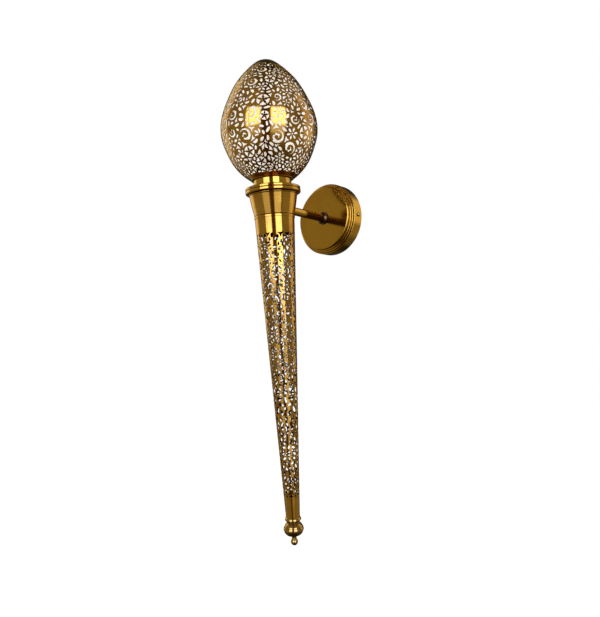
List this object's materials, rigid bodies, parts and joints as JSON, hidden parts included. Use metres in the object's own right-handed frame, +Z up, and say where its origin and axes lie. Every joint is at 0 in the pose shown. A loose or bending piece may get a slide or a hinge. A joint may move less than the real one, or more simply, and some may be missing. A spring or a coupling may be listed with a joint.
{
  "type": "torch wall sconce",
  "caption": "Brass torch wall light with an egg-shaped openwork shade on a flared cup, a long tapered openwork stem with a turned finial, and a short arm to a round stepped wall plate.",
  "frame": {"origin": "centre of the round wall plate's back, on the wall, midway between the two wall-screw slots", "axes": "+Y goes into the wall, +Z is up, +X is to the right of someone facing the wall; the arm runs out along -Y"},
  "size_m": [0.1502, 0.2295, 0.7292],
  "materials": {
    "polished_brass": "polished, clear-lacquered",
    "openwork_brass": "polished openwork with dark edges",
    "dark_brass": "darker, polished",
    "aged_brass": "turned, slightly toned",
    "brass_fittings": "machined, unlacquered",
    "zinc_steel": "zinc plated",
    "black_polyamide": "moulded",
    "white_porcelain": "glazed",
    "nickel_cap": "rolled thread",
    "frosted_glass": "frosted",
    "lead_sleeve": "smooth sheath",
    "earth_sleeve": "green with a yellow stripe"
  },
  "bodies": {
    "base": {"crossbar": "zinc_steel", "earth_screw": "brass_fittings", "earth_tags": "zinc_steel", "earth_wire": "earth_sleeve", "terminal_block": "black_polyamide", "terminal_screws": "brass_fittings", "wall_plate": "polished_brass", "arm_collar": "dark_brass", "arm_tube": "polished_brass", "threaded_pipe": "brass_fittings", "lock_nuts": "zinc_steel", "lock_washers": "zinc_steel", "saddle_washer": "brass_fittings", "lamp_lead": "lead_sleeve", "cup": "polished_brass", "rim_ring": "polished_brass", "stem_cap": "polished_brass", "stem": "openwork_brass", "stem_bush": "brass_fittings", "bead_ring": "aged_brass", "holder_nipple": "brass_fittings", "lampholder_body": "white_porcelain", "lampholder_core": "white_porcelain", "lampholder_thread": "brass_fittings", "lampholder_contact": "brass_fittings"},
    "shade": {"shade_lower": "openwork_brass", "shade_upper": "openwork_brass", "shade_neck": "polished_brass"},
    "bulb": {"bulb_glass": "frosted_glass", "bulb_cap": "nickel_cap", "bulb_contact": "black_polyamide"},
    "side_screw_left": {"side_screw_left": "dark_brass"},
    "side_screw_right": {"side_screw_right": "dark_brass"},
    "finial": {"finial": "aged_brass"}
  },
  "joints": [
    {"name": "shade_lift", "type": "slide", "parent": "base", "child": "shade", "axis": [0, -0.0872, 0.9962], "range_m": [0, 0.12]},
    {"name": "bulb_unscrew", "type": "slide", "parent": "base", "child": "bulb", "axis": [0, -0.0872, 0.9962], "range_m": [0, 0.024]},
    {"name": "side_screw_left_out", "type": "slide", "parent": "base", "child": "side_screw_left", "axis": [-1, 0, 0], "range_m": [0, 0.0115]},
    {"name": "side_screw_right_out", "type": "slide", "parent": "base", "child": "side_screw_right", "axis": [1, 0, 0], "range_m": [0, 0.0115]},
    {"name": "finial_turn", "type": "hinge", "parent": "base", "child": "finial", "pos_m": [0, -0.10246, -0.47479], "axis": [0, -0.0872, 0.9962], "continuous": true}
  ]
}
